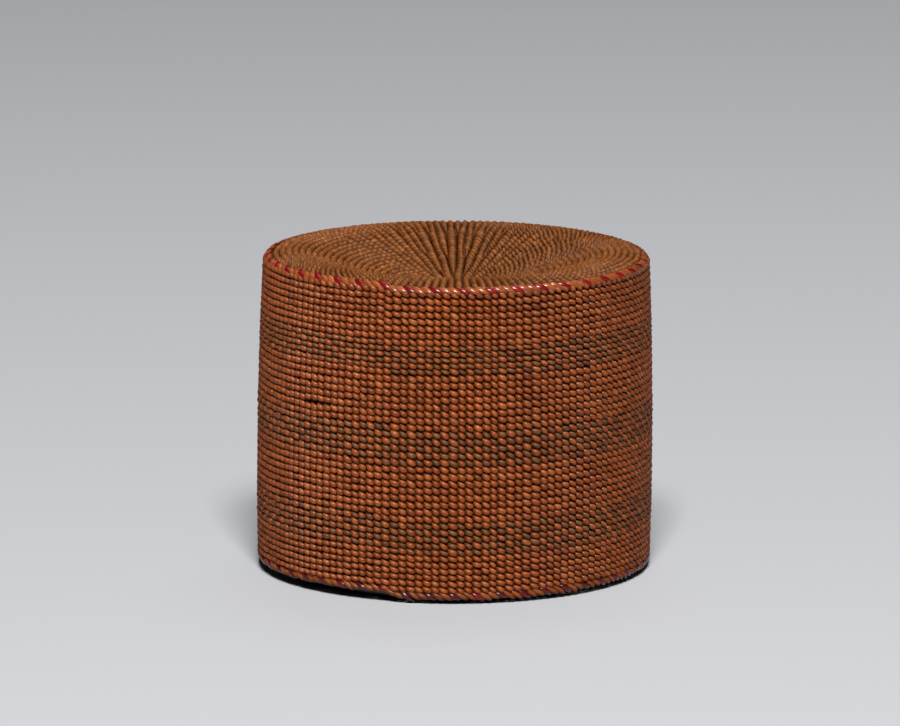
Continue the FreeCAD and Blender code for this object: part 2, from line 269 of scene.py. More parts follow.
def stitch_faces(rings, sides):
    """Faces of one closed stitch: a pole, its rings and the other pole, with a place on a unit square."""
    faces = []
    squares = []
    first, last = 0, 1 + rings * sides
    for side in range(sides):
        after = (side + 1) % sides
        low, high = side / sides, (side + 1) / sides
        step = 1 / (rings + 1)
        faces.append((first, 1 + after, 1 + side))
        squares.append(((0, (low + high) / 2), (step, high), (step, low)))
        for ring in range(rings - 1):
            near, far = 1 + ring * sides, 1 + (ring + 1) * sides
            faces.append((near + side, near + after, far + after, far + side))
            left, right = (ring + 1) * step, (ring + 2) * step
            squares.append(((left, low), (left, high), (right, high), (right, low)))
        end = 1 + (rings - 1) * sides
        faces.append((end + side, end + after, last))
        squares.append(((1 - step, low), (1 - step, high), (1, (low + high) / 2)))
    return faces, squares


def stitch_points(run, rng):
    """Points of all the stitches of a run, with how far each point stands out of the grooves, which sets
    its painted shade.
    """
    form = run.form
    radius, height, angle, turn = (run.gather(key) for key in ("radius", "height", "angle", "turn"))
    column, pitch, bulk, side = (run.gather(key) for key in ("column", "pitch", "bulk", "side"))
    count = len(turn)

    def uneven(amount):
        return form.spread * amount * rng.standard_normal(count).clip(-UNEVEN_LIMIT, UNEVEN_LIMIT)

    half_length = form.reach * column * (1 + uneven(UNEVEN_LENGTH))
    half_height = form.height * pitch * bulk * (1 + uneven(UNEVEN_HEIGHT))
    half_depth = form.depth * bulk * (1 + uneven(UNEVEN_DEPTH))
    slant = form.slant * pitch * (1 + uneven(UNEVEN_SLANT))
    shift = pitch * uneven(UNEVEN_SHIFT)
    sink = form.depth * uneven(UNEVEN_SINK) - (1 - bulk) * form.depth

    along = -np.cos(np.pi * np.arange(0, form.rings + 2) / (form.rings + 1))
    around = 2 * np.pi * np.arange(form.sides) / form.sides
    taper = np.clip(1 - np.abs(along) ** END_CURVE, 0, None) ** END_FULLNESS * (1 - form.skew * along)
    grid_along = np.concatenate([along[:1], np.repeat(along[1:-1], form.sides), along[-1:]])
    grid_taper = np.concatenate([[0], np.repeat(taper[1:-1], form.sides), [0]])
    grid_cos = np.concatenate([[0], np.tile(np.cos(around), form.rings), [0]])
    grid_sin = np.concatenate([[0], np.tile(np.sin(around), form.rings), [0]])
    arch = 1 - np.abs(grid_along - form.shingle) ** END_CURVE

    across = half_length[:, None] * grid_along
    down = slant[:, None] * grid_along + half_height[:, None] * grid_taper * grid_cos + shift[:, None]
    crest = (run.gather("crest") + sink)[:, None]
    out = crest + form.dive * (arch - 1) + half_depth[:, None] * (grid_taper * grid_sin - 1)
    out = out * side[:, None]
    facing_r, facing_z = np.sin(angle)[:, None], np.cos(angle)[:, None]
    point_r = radius[:, None] + out * facing_r + down * facing_z
    point_z = height[:, None] + out * facing_z - down * facing_r
    point_turn = turn[:, None] + across / np.maximum(radius[:, None], SMALLEST_RADIUS)
    points = np.stack([point_r * np.sin(point_turn), -point_r * np.cos(point_turn), point_z], axis=-1)
    # The rise is the mask of the painted shade in the strand's colour: it is low where a stitch dives into
    # the grooves and on its inner side.
    standing = SIDE_RISE + (1 - SIDE_RISE) * grid_sin
    rise = np.clip(arch * standing * (1 + form.shingle * grid_along), 0, 1)
    return points, np.broadcast_to(rise, (count, len(rise)))


def lean_cover(points, shape):
    """Let the rim stand a little lower on the right than on the left, and the cover lean to the right."""
    share = np.clip(points[..., 2] / shape.wall_top, 0, 1)
    sideways = np.clip(points[..., 0] / shape.belly_radius, -1, 1)
    points[..., 2] -= shape.rim_tilt * sideways * share ** 2
    points[..., 0] += shape.lean * (share - STRAIGHT_SHARE)
    return points


def fill_mesh(mesh, points, corners, totals):
    """Fill an empty mesh from flat arrays."""
    mesh.vertices.add(len(points))
    mesh.vertices.foreach_set("co", np.ascontiguousarray(points, dtype=np.float32).ravel())
    mesh.loops.add(len(corners))
    mesh.loops.foreach_set("vertex_index", corners)
    mesh.polygons.add(len(totals))
    starts = np.concatenate([[0], np.cumsum(totals)[:-1]]).astype(np.int32)
    mesh.polygons.foreach_set("loop_start", starts)
    mesh.polygons.foreach_set("loop_total", totals)
    mesh.update(calc_edges=True)
    mesh.polygons.foreach_set("use_smooth", np.ones(len(totals), dtype=bool))
    mesh.validate()


def link_piece(name, mesh, materials):
    """Put a filled mesh into the scene with its materials."""
    for material in materials:
        mesh.materials.append(material)
    piece = bpy.data.objects.new(name, mesh)
    bpy.context.scene.collection.objects.link(piece)
    return piece


def add_mesh_object(name, points, faces, materials):
    """A smooth-shaded mesh object from points and faces of mixed size."""
    mesh = bpy.data.meshes.new(name)
    totals = np.array([len(face) for face in faces], dtype=np.int32)
    corners = np.concatenate([np.asarray(face, dtype=np.int32) for face in faces])
    fill_mesh(mesh, points, corners, totals)
    return link_piece(name, mesh, materials)


def add_stitches(name, run, materials, shape, seed):
    """One piece of many stitches, each with its own tone and its own place on the strand."""
    rng = np.random.default_rng(seed)
    points, rise = stitch_points(run, rng)
    points = lean_cover(points, shape)
    count, per_stitch = points.shape[:2]
    faces, squares = stitch_faces(run.form.rings, run.form.sides)
    if run.rows[0]["side"] > 0:
        faces = [face[::-1] for face in faces]
        squares = [places[::-1] for places in squares]
    one_stitch = np.concatenate([np.asarray(face, dtype=np.int32) for face in faces])
    square = np.concatenate([np.asarray(places) for places in squares])
    totals = np.tile([len(face) for face in faces], count).astype(np.int32)
    corners = (np.arange(count, dtype=np.int32)[:, None] * per_stitch + one_stitch).ravel()
    mesh = bpy.data.meshes.new(name)
    fill_mesh(mesh, points.reshape(-1, 3), corners.astype(np.int32), totals)

    cells = math.ceil(math.sqrt(count))
    cell = np.stack([np.arange(count) % cells, np.arange(count) // cells], axis=-1)
    baked = (cell[:, None, :] + BAKE_MARGIN + (1 - 2 * BAKE_MARGIN) * square) / cells
    mesh.uv_layers.new(name="OFBake").data.foreach_set("uv", baked.astype(np.float32).ravel())
    length = 2 * run.form.reach * run.gather("column") / MM
    girth = STRAND_ROUND * run.gather("pitch") / MM
    start = rng.uniform(0, STRAND_STARTS, size=count)
    strand = np.stack([start[:, None] + square[:, 0] * length[:, None],
                       start[:, None] * STRAND_SHEAR + square[:, 1] * girth[:, None]], axis=-1)
    mesh.uv_layers.new(name="strand").data.foreach_set("uv", strand.astype(np.float32).ravel())

    tone = np.clip(run.gather("tone") + TONE_SPREAD * rng.standard_normal(count), 0, 1)
    for key, values in (("tone", np.repeat(tone, per_stitch)), ("rise", rise.ravel())):
        mesh.attributes.new(key, "FLOAT", "POINT").data.foreach_set("value", values.astype(np.float32))
    piece = link_piece(name, mesh, materials)
    which = np.repeat(run.gather("strand").astype(np.int32), len(faces))
    mesh.polygons.foreach_set("material_index", which)
    return piece


def dress(piece, body, slot, *nodes):
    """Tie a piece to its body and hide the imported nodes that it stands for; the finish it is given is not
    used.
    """
    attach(piece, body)
    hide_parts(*nodes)


# Materials

# Nearly all of a noise lies between these two values.
NOISE_SPAN = {"From Min": 0.3, "From Max": 0.7}

# On the map of a strand, in millimetres.
FIBRE_LENGTH = 5 / 3
FIBRE_WIDTH = 1 / 3

PATCH_SIZE = 14 * MM
UPRIGHT_GRAIN = 0.9 * MM
RUBBED_SPOT = 3 * MM
BRUSH_RIPPLE = 9 * MM
PAPER_TOOTH = 0.8 * MM


def add_node(tree, kind, settings=None, inputs=None, stops=()):
    """Add one node, set it up, give its colour ramp any stops, and link or set its inputs."""
    node = tree.nodes.new(kind)
    for name, value in (settings or {}).items():
        setattr(node, name, value)
    for name, value in (inputs or {}).items():
        if isinstance(value, bpy.types.NodeSocket):
            tree.links.new(value, node.inputs[name])
        else:
            node.inputs[name].default_value = value
    if stops:
        elements = node.color_ramp.elements
        while len(elements) < len(stops):
            elements.new(0.5)
        for element, (place, colour) in zip(elements, stops):
            element.position = place
            element.color = (*colour, 1)
    return node


def start_material(name):
    """A new material with its empty tree, or the finished material and None if it was made before."""
    material = bpy.data.materials.get(name)
    if material:
        return material, None
    material = bpy.data.materials.new(name)
    material.use_nodes = True
    material.node_tree.nodes.clear()
    return material, material.node_tree


def finish_material(tree, inputs):
    """Close a material with its Principled shader and its output."""
    shader = add_node(tree, "ShaderNodeBsdfPrincipled", inputs=inputs)
    add_node(tree, "ShaderNodeOutputMaterial", inputs={"Surface": shader.outputs["BSDF"]})


def strand_material(name, colours, family, smoothest, roughest, coat):
    """A strand: a tone for each stitch, fibres along it, and painted shade and dirt where it dives between
    the uprights.
    """
    material, tree = start_material(name)
    if tree is None:
        return material
    pale, middle, deep = (getattr(colours, family + depth) for depth in ("_pale", "_middle", "_deep"))
    tone = add_node(tree, "ShaderNodeAttribute", {"attribute_name": "tone"})
    base = add_node(tree, "ShaderNodeValToRGB", inputs={"Fac": tone.outputs["Fac"]},
                    stops=((0.05, deep), (0.5, middle), (0.95, pale)))

    strand = add_node(tree, "ShaderNodeUVMap", {"uv_map": "strand"})
    # Fibres are about 0.1 mm wide and several millimetres long; drawn 0.33 mm wide so that they show.
    fibres = add_node(tree, "ShaderNodeMapping", inputs={
        "Vector": strand.outputs["UV"], "Scale": (1 / FIBRE_LENGTH, 1 / FIBRE_WIDTH, 1.0)})
    streaks = add_node(tree, "ShaderNodeTexNoise", {"noise_dimensions": "2D"},
                       {"Vector": fibres.outputs["Vector"], "Scale": 1.0, "Detail": 4.0, "Roughness": 0.6})
    streak_shade = add_node(tree, "ShaderNodeMapRange", inputs={
        **NOISE_SPAN, "Value": streaks.outputs["Fac"], "To Min": 0.55, "To Max": 1.3})
    place = add_node(tree, "ShaderNodeTexCoord")
    # Patches where hands have darkened or bleached the cover.
    patches = add_node(tree, "ShaderNodeTexNoise", inputs={
        "Vector": place.outputs["Object"], "Scale": 1 / PATCH_SIZE, "Detail": 2.0})
    patch_shade = add_node(tree, "ShaderNodeMapRange", inputs={
        **NOISE_SPAN, "Value": patches.outputs["Fac"], "To Min": 0.9, "To Max": 1.08})
    # Painted shade with some dirt: the colour falls to about a sixth where a stitch dives between the
    # uprights and on its inner side.
    rise = add_node(tree, "ShaderNodeAttribute", {"attribute_name": "rise"})
    groove_shade_and_grime = add_node(tree, "ShaderNodeMapRange", inputs={
        "Value": rise.outputs["Fac"], "From Min": 0.1, "From Max": 0.9, "To Min": 0.16, "To Max": 1.0})
    shade = streak_shade.outputs["Result"]
    for part in (patch_shade, groove_shade_and_grime):
        product = add_node(tree, "ShaderNodeMath", {"operation": "MULTIPLY"},
                           {0: shade, 1: part.outputs["Result"]})
        shade = product.outputs["Value"]
    colour = add_node(tree, "ShaderNodeVectorMath", {"operation": "SCALE"},
                      {"Vector": base.outputs["Color"], "Scale": shade})
    rough = add_node(tree, "ShaderNodeMapRange", inputs={
        **NOISE_SPAN, "Value": streaks.outputs["Fac"], "To Min": roughest, "To Max": smoothest})
    relief = add_node(tree, "ShaderNodeBump", inputs={
        "Height": streaks.outputs["Fac"], "Strength": 0.35, "Distance": 0.06 * MM})
    finish_material(tree, {
        "Base Color": colour.outputs["Vector"], "Roughness": rough.outputs["Result"],
        "Normal": relief.outputs["Normal"], "Specular IOR Level": 0.2, "Coat Weight": coat,
        "Coat Roughness": 0.22})
    return material


def natural_rattan(colours):
    # Split rattan polished by handling: warm brown, long fibres, a soft gloss on each crest.
    return strand_material("natural_rattan_polished", colours, "natural",
                           smoothest=0.3, roughest=0.46, coat=0.04)


def worn_rattan(colours):
    # The same rattan on the dish, where dust and light have turned it yellower and duller.
    return strand_material("natural_rattan_worn", colours, "worn",
                           smoothest=0.46, roughest=0.6, coat=0.02)


def dyed_rattan(colours):
    # Rattan dyed in mud: a darker brown, duller than the natural strand.
    return strand_material("dyed_rattan_olive", colours, "dyed",
                           smoothest=0.42, roughest=0.6, coat=0.05)


def red_rattan(colours):
    # Rattan under red lacquer: deep red with a hard gloss.
    return strand_material("red_lacquered_rattan", colours, "red",
                           smoothest=0.2, roughest=0.32, coat=0.5)


def lacquered_rattan(colours):
    # Rattan of the rim under clear lacquer: tan, with small sharp highlights.
    return strand_material("clear_lacquered_rattan", colours, "natural",
                           smoothest=0.18, roughest=0.3, coat=0.5)


def upright_rattan(colours):
    # Rattan uprights inside the fabric, darkened to 0.3 to 0.6 of the darkest strand's colour as painted
    # shade; they are seen only as the depth of the gaps.
    material, tree = start_material("upright_rattan_shaded")
    if tree is None:
        return material
    place = add_node(tree, "ShaderNodeTexCoord")
    grain = add_node(tree, "ShaderNodeTexNoise", inputs={
        "Vector": place.outputs["Object"], "Scale": 1 / UPRIGHT_GRAIN, "Detail": 3.0})
    dark, light = ([share * part for part in colours.natural_deep] for share in (0.3, 0.6))
    colour = add_node(tree, "ShaderNodeValToRGB", inputs={"Fac": grain.outputs["Fac"]},
                      stops=((0.3, dark), (0.7, light)))
    finish_material(tree, {"Base Color": colour.outputs["Color"], "Roughness": 0.75})
    return material


def black_lacquer(colours):
    # Black lacquer on turned wood: a deep even gloss, faint ripples of the brush, brown on rubbed edges.
    material, tree = start_material("black_lacquer_on_wood")
    if tree is None:
        return material
    place = add_node(tree, "ShaderNodeTexCoord")
    edge = add_node(tree, "ShaderNodeAttribute", {"attribute_name": "edge"})
    rub = add_node(tree, "ShaderNodeTexNoise", inputs={
        "Vector": place.outputs["Object"], "Scale": 1 / RUBBED_SPOT, "Detail": 4.0})
    worn = add_node(tree, "ShaderNodeMath", {"operation": "MULTIPLY"},
                    {0: edge.outputs["Fac"], 1: rub.outputs["Fac"]})
    colour = add_node(tree, "ShaderNodeValToRGB", inputs={"Fac": worn.outputs["Value"]},
                      stops=((0.3, colours.lacquer), (0.75, colours.lacquer_worn)))
    rough = add_node(tree, "ShaderNodeMapRange", inputs={
        **NOISE_SPAN, "Value": rub.outputs["Fac"], "To Min": 0.12, "To Max": 0.24})
    ripples = add_node(tree, "ShaderNodeTexNoise", inputs={
        "Vector": place.outputs["Object"], "Scale": 1 / BRUSH_RIPPLE, "Detail": 1.0})
    relief = add_node(tree, "ShaderNodeBump", inputs={
        "Height": ripples.outputs["Fac"], "Strength": 0.15, "Distance": 0.1 * MM})
    finish_material(tree, {
        "Base Color": colour.outputs["Color"], "Roughness": rough.outputs["Result"],
        "Normal": relief.outputs["Normal"], "Coat Weight": 0.4, "Coat Roughness": 0.06})
    return material


def paper_floor(colours):
    # Seamless studio paper: matt, with a faint tooth.
    material, tree = start_material("studio_paper_matt")
    if tree is None:
        return material
    place = add_node(tree, "ShaderNodeTexCoord")
    tooth = add_node(tree, "ShaderNodeTexNoise", inputs={
        "Vector": place.outputs["Object"], "Scale": 1 / PAPER_TOOTH, "Detail": 2.0})
    relief = add_node(tree, "ShaderNodeBump", inputs={
        "Height": tooth.outputs["Fac"], "Strength": 0.1, "Distance": 0.05 * MM})
    # The eye sees the pale paper, and the caddy gets only as much light from it as from a darker table.
    rays = add_node(tree, "ShaderNodeLightPath")
    seen = rays.outputs["Is Camera Ray"]
    for kind in ("Is Glossy Ray", "Is Transmission Ray"):
        either = add_node(tree, "ShaderNodeMath", {"operation": "MAXIMUM"},
                          {0: seen, 1: rays.outputs[kind]})
        seen = either.outputs["Value"]
    colour = add_node(tree, "ShaderNodeValToRGB", inputs={"Fac": seen},
                      stops=((0.0, colours.floor_bounce), (1.0, colours.floor)))
    finish_material(tree, {
        "Base Color": colour.outputs["Color"], "Roughness": 0.9, "Normal": relief.outputs["Normal"]})
    return material


# Rows of stitches

OUTER_STITCH = StitchForm(reach=0.69, height=0.49, depth=0.6 * MM, slant=0.28, dive=0.85 * MM, skew=-0.08,
                          shingle=0.16)
DISH_STITCH = StitchForm(reach=0.56, height=0.47, depth=0.7 * MM, slant=0.3, dive=0.8 * MM, skew=-0.08,
                         shingle=0.1)
# The stitches of the inner face overlap, so that no light comes through the lifted cover.
INNER_STITCH = StitchForm(reach=0.85, height=0.6, depth=0.42 * MM, slant=0.18, dive=0.3 * MM, rings=4,
                          sides=7)
WALL_SEED, DISH_SEED, LINING_WALL_SEED, LINING_DISH_SEED = 11, 31, 51, 61

WALL_PARTS = ("upper", "middle", "lower")
NATURAL, DYED = 0, 1
DYED_BULK = 0.91
BANDED_BULK = 1.08
STRAND_TONE = 0.05
WAVE_TONE = 0.05

FIRST_UPRIGHT = math.pi / 2
COLUMN_UNEVENNESS = 0.07
SECTOR_PLACES = ((0,), (0,), (0, 2), (0, 2, 4), (0, 1, 2, 3, 4))
GROWING_ROWS = 3
CENTRE_GAP = 0.5 * MM
UNDER_RIM_CORD = 0.9 * MM
LINING_TOP_GAP = 1.2 * MM
FOOT_DROP_KEPT = 0.6

# Two waves in which the rows wander up and down: depth, waves round the cover, and length down the wall.
SLOW_DEPTH, SLOW_WAVES, SLOW_START, SLOW_LENGTH = 0.12 * MM, 3, 1.1, 9 * MM
QUICK_DEPTH, QUICK_WAVES, QUICK_LENGTH = 0.08 * MM, 7, 5 * MM

# The slit at the left of the wall, where two rows stand apart.
SLIT_TURN = math.radians(-46)
SLIT_SPAN = math.radians(4)
SLIT_HEIGHT = 40.6 * MM
SLIT_REACH = 2.2 * MM
SLIT_OPENING = 0.38 * MM


def spiral_share(turn, shape):
    """How far a place is through its turn of the spiral, from left of the step to right of it."""
    return ((shape.step_angle - turn) / (2 * math.pi)) % 1.0


def spiral_climb(share, levelled, power):
    """Share of a row that a turn climbs, which falls off at the rim so that the rows end nearly level."""
    return 1 - levelled * share ** power


def settle(turn, height):
    """How far the rows wander down from an even spiral, with one place where two rows stand apart."""
    slow = SLOW_DEPTH * np.sin(SLOW_WAVES * turn + SLOW_START) * np.sin(height / SLOW_LENGTH)
    quick = QUICK_DEPTH * np.sin(QUICK_WAVES * turn + height / QUICK_LENGTH)
    beside = (turn - SLIT_TURN + math.pi) % (2 * math.pi) - math.pi
    near = np.exp(-(beside / SLIT_SPAN) ** 2 - ((height - SLIT_HEIGHT) / SLIT_REACH) ** 2)
    return slow + quick + SLIT_OPENING * near * np.sign(SLIT_HEIGHT - height)


def row_tone(order, row, turn, drift, waves):
    """Tones of a row: one strand is a little paler than the other, and both change along the row."""
    strands = STRAND_TONE * np.where(order % 2 == 1, 1, -1)
    return 0.5 + strands + WAVE_TONE * np.sin(row * drift + waves * turn)


def column_turns(count, unevenness=0.0):
    """Turns and widths of the columns, from the first upright, whose widths may be uneven by a share."""
    draws = np.random.default_rng(count).standard_normal(count).clip(-UNEVEN_LIMIT, UNEVEN_LIMIT)
    widths = 1 + unevenness * draws
    widths = 2 * math.pi * widths / widths.sum()
    return FIRST_UPRIGHT + np.cumsum(widths) - (widths + widths[0]) / 2, widths


def sector_gaps(places, shape):
    """The uprights at some places of each sector, all the way round, with one more at either end."""
    per_sector = shape.columns // shape.sectors
    uprights = np.concatenate([np.array(places) + per_sector * sector for sector in range(shape.sectors)])
    return np.concatenate([[uprights[-1] - shape.columns], uprights, [shape.columns]])


def sector_turns(places, earlier, grown, shape):
    """Turns and widths of columns on the uprights at some places, where those that are not among the
    earlier ones have only grown to a share of their width."""
    uprights = sector_gaps(places, shape)
    middles = (uprights[1:] + uprights[:-1]) / 2
    before = sector_gaps(earlier, shape)
    after = np.searchsorted(before, middles)
    edges = grown * middles + (1 - grown) * (before[after] + before[after - 1]) / 2
    step = 2 * math.pi / shape.columns
    return FIRST_UPRIGHT + step * (edges[1:] + edges[:-1]) / 2, step * np.diff(edges)


def wall_row(run, line, shape, row, height, pitch, banded, side=1):
    """One turn of twining on the wall."""
    turn, width = column_turns(shape.columns, COLUMN_UNEVENNESS)
    share = spiral_share(turn, shape)
    climb = pitch * spiral_climb(height / shape.wall_top, levelled=0.5, power=10)
    place = height + climb * (0.5 - share)
    place = place - settle(turn, place)
    radius, angle = line.wall_at(place)
    order = (np.argmin(share) - np.arange(shape.columns)) % shape.columns + row * shape.columns
    dark = (order % 2 == 1) & banded
    bulk = np.where(dark, DYED_BULK, BANDED_BULK if banded else 1.0)
    run.add(radius=radius, height=place, angle=angle, turn=turn, column=radius * width, pitch=pitch,
            bulk=bulk, side=float(side), crest=shape.crest + shape.proud,
            tone=row_tone(order, row, turn, drift=1.9, waves=2), strand=np.where(dark, DYED, NATURAL))


def wall_groups(shape):
    """Name, rows, foot, pitch and colouring of each stretch of the wall, from the top."""
    groups = []
    kinds = (("_plain_courses", shape.plain_rows, False), ("_band_courses", shape.band_rows, True))
    stretches = [(part + kind, rows, banded) for part in WALL_PARTS for kind, rows, banded in kinds]
    for name, rows, banded in stretches + [("foot_plain_courses", shape.foot_rows, False)]:
        low, high = foot_of(name) - shape.row_drop, top_of(name) - shape.row_drop
        if name == "upper_plain_courses":
            high = shape.wall_top + shape.rim_rise
        if name == "foot_plain_courses":
            low += FOOT_DROP_KEPT * shape.row_drop
        groups.append((name, rows, low, (high - low) / rows, banded))
    return groups


def dish_stretches(line, shape):
    """Name, uprights of a sector and those of the stretch before, first and last distance of each stretch
    of the dish, from its centre."""
    names = ("dish_start", "dish_first_courses", "dish_second_courses", "dish_third_courses")
    ends = [line.distance_at(radius_of(name)) for name in names] + [line.length + UNDER_RIM_CORD]
    starts = [0.0] + ends[:-1]
    earlier = SECTOR_PLACES[:1] + SECTOR_PLACES[:-1]
    return list(zip(names + ("dish_shoulder_courses",), zip(SECTOR_PLACES, earlier), starts, ends))


def dish_row(run, line, shape, row, places, grown, distance, pitch, side):
    """One turn of twining on the dish."""
    turn, width = sector_turns(*places, grown, shape)
    count = len(turn)
    climb = pitch * spiral_climb(distance / line.length, levelled=0.75, power=6)
    place = distance + climb * (spiral_share(turn, shape) - 0.5)
    place = np.clip(place + settle(turn, place), CENTRE_GAP, None)
    radius, height, angle = line.dish_at(place)
    order = np.arange(count) + row * count
    run.add(radius=radius, height=height, angle=angle, turn=turn, column=radius * width, pitch=pitch,
            bulk=1.0, side=float(side), crest=shape.crest,
            tone=row_tone(order, row, turn, drift=1.7, waves=3), strand=NATURAL)


def twine_stretch(run, line, shape, row, places, start, end, side=1):
    """Rows of one stretch of the dish, on which new uprights grow; gives the number of the next row."""
    rows = max(1, round((end - start) / shape.dish_pitch))
    pitch = (end - start) / rows
    for step in range(rows):
        grown = min(1.0, (step + 0.5) / GROWING_ROWS)
        dish_row(run, line, shape, row, places, grown, start + (step + 0.5) * pitch, pitch, side)
        row += 1
    return row


def get_shape():
    return bpy.context.scene.caddy_shape


def get_colours():
    return bpy.context.scene.caddy_colours


class BuildWall(bpy.types.Operator):
    """Twine the rows of the wall, plain and banded"""
    bl_idname = "caddy.build_wall"
    bl_label = "Wall courses"

    def execute(self, context):
        shape, colours = get_shape(), get_colours()
        line = WovenLine(shape)
        row = 0
        for seed, (name, rows, foot, pitch, banded) in enumerate(wall_groups(shape), start=WALL_SEED):
            run = StitchRun(OUTER_STITCH)
            for step in range(rows):
                wall_row(run, line, shape, row, foot + (rows - step - 0.5) * pitch, pitch, banded)
                row += 1
            materials = [natural_rattan(colours)]
            if banded:
                materials.append(dyed_rattan(colours))
            piece = add_stitches("stitched_" + name, run, materials, shape, seed)
            dress(piece, COVER, "banded_weft" if banded else "natural_weft", name)
        return {"FINISHED"}


class BuildDish(bpy.types.Operator):
    """Twine the rows of the dished top, from its centre to the rim"""
    bl_idname = "caddy.build_dish"
    bl_label = "Dish courses"

    def execute(self, context):
        shape, colours = get_shape(), get_colours()
        line = WovenLine(shape)
        row = 0
        for seed, (name, places, start, end) in enumerate(dish_stretches(line, shape), start=DISH_SEED):
            run = StitchRun(DISH_STITCH)
            row = twine_stretch(run, line, shape, row, places, start, end)
            piece = add_stitches("stitched_" + name, run, [worn_rattan(colours)], shape, seed)
            dress(piece, COVER, "natural_weft", name)
        return {"FINISHED"}


class BuildLining(bpy.types.Operator):
    """Twine the inner face of the same rows"""
    bl_idname = "caddy.build_lining"
    bl_label = "Inner face"

    def execute(self, context):
        shape, colours = get_shape(), get_colours()
        line = WovenLine(shape)
        row = 0
        parts = {part: StitchRun(INNER_STITCH) for part in WALL_PARTS}
        for name, rows, foot, pitch, banded in wall_groups(shape):
            run = parts.get(name.split("_")[0], parts["lower"])
            for step in range(rows):
                height = foot + (rows - step - 0.5) * pitch
                if height < shape.wall_top - LINING_TOP_GAP:
                    wall_row(run, line, shape, row, height, pitch, banded, side=-1)
                row += 1
        materials = [natural_rattan(colours), dyed_rattan(colours)]
        for seed, (part, run) in enumerate(parts.items(), start=LINING_WALL_SEED):
            piece = add_stitches("lining_wall_" + part, run, materials, shape, seed)
            dress(piece, COVER, "natural_weft", "wall_back_courses")
        run = StitchRun(INNER_STITCH)
        back_end = line.distance_at(radius_of("dish_back_courses"))
        for _, places, start, end in dish_stretches(line, shape):
            row = twine_stretch(run, line, shape, row, places, start, min(end, back_end), side=-1)
        piece = add_stitches("lining_dish", run, [natural_rattan(colours)], shape, LINING_DISH_SEED)
        dress(piece, COVER, "natural_weft", "dish_back_courses")
        return {"FINISHED"}


# Edge cords

RIM_STITCH = StitchForm(reach=1.1, height=0.34, depth=0.52 * MM, slant=0.4, dive=0.55 * MM, rings=11,
                        sides=14, skew=0.05, spread=0.7)
FOOT_STITCH = StitchForm(reach=1.0, height=0.34, depth=0.46 * MM, slant=0.4, dive=0.45 * MM, rings=11,
                         sides=14, skew=0.05, spread=0.9)
RIM_SEED, FOOT_SEED = 71, 81
CORD_STRANDS = 3
RED_BULK = 1.04
CORD_TONE, CORD_TONE_WAVES = 0.08, 5


def cord_row(run, shape, repeats, radius, height, facing, step, stitch_height, crest, climb, tan_tone,
             red_tone, roll=0.0, sag=0.0):
    """One turn of three-strand twining, whose end climbs by a step over its own start. The climb is a
    share of the way round. The cord rolls outwards as it drops, and sags at its sides."""
    count = repeats * CORD_STRANDS
    turn, width = column_turns(count)
    share = spiral_share(turn, shape)
    rising = np.clip((share - 1 + climb) / climb, 0, 1)
    drop = step * (share - 0.5) - step * rising ** 2 * (3 - 2 * rising)
    hang = sag * (1 - np.cos(turn))
    red = np.arange(count) % CORD_STRANDS == 0
    tone = np.where(red, red_tone, tan_tone) + CORD_TONE * np.sin(CORD_TONE_WAVES * turn)
    run.add(radius=radius + roll * drop, height=height - hang - drop, angle=np.full(count, facing),
            turn=turn, column=radius * width, pitch=stitch_height, bulk=np.where(red, RED_BULK, 1.0),
            side=1.0, crest=crest, tone=tone, strand=np.where(red, 1, 0))


class BuildRimCord(bpy.types.Operator):
    """Lay the cord of one red and two natural strands round the rim"""
    bl_idname = "caddy.build_rim_cord"
    bl_label = "Rim cord"

    def execute(self, context):
        shape, colours = get_shape(), get_colours()
        run = StitchRun(RIM_STITCH)
        cord_row(run, shape, repeats=45, radius=39.3 * MM, height=shape.wall_top + 0.35 * MM,
                 facing=math.radians(48), step=0.7 * MM, stitch_height=2.1 * MM, crest=1.75 * MM,
                 climb=0.012, tan_tone=0.6, red_tone=0.5, roll=0.5, sag=0.15 * MM)
        materials = [lacquered_rattan(colours), red_rattan(colours)]
        piece = add_stitches("stitched_rim_cord", run, materials, shape, RIM_SEED)
        dress(piece, COVER, "red_strand", "rim_red_strand", "rim_first_tan_strand",
              "rim_second_tan_strand")
        return {"FINISHED"}


class BuildFootCord(bpy.types.Operator):
    """Lay the three-strand cord round the lower edge"""
    bl_idname = "caddy.build_foot_cord"
    bl_label = "Foot cord"

    def execute(self, context):
        shape, colours = get_shape(), get_colours()
        run = StitchRun(FOOT_STITCH)
        middle = (foot_of("foot_first_tan_strand") + top_of("foot_red_strand")) / 2
        cord_row(run, shape, repeats=52, radius=radius_of("foot_red_strand") - 1.3 * MM,
                 height=middle + 0.3 * MM, facing=math.radians(95), step=1.25 * MM,
                 stitch_height=1.75 * MM, crest=1.4 * MM, climb=0.02, tan_tone=0.35, red_tone=0.15)
        materials = [natural_rattan(colours), red_rattan(colours)]
        piece = add_stitches("stitched_foot_cord", run, materials, shape, FOOT_SEED)
        dress(piece, COVER, "red_strand", "foot_red_strand", "foot_first_tan_strand",
              "foot_second_tan_strand")
        return {"FINISHED"}


class DressUprights(bpy.types.Operator):
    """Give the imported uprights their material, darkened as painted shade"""
    bl_idname = "caddy.dress_uprights"
    bl_label = "Uprights"

    def execute(self, context):
        material = upright_rattan(get_colours())
        for name in ("first_warps", "second_warps", "third_warps", "last_warps"):
            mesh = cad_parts[name].data
            mesh.materials.clear()
            mesh.materials.append(material)
        return {"FINISHED"}


# Vessel and inner lid

LATHE_STEPS = 160
ROUND_STEPS = 5
EDGE_WEAR = 0.2
SEAT_GAP = 0.3 * MM
LID_RIM_WALL = 1.6 * MM
NECK_RADIUS = 3.6 * MM
NECK_HEIGHT = 1.6 * MM


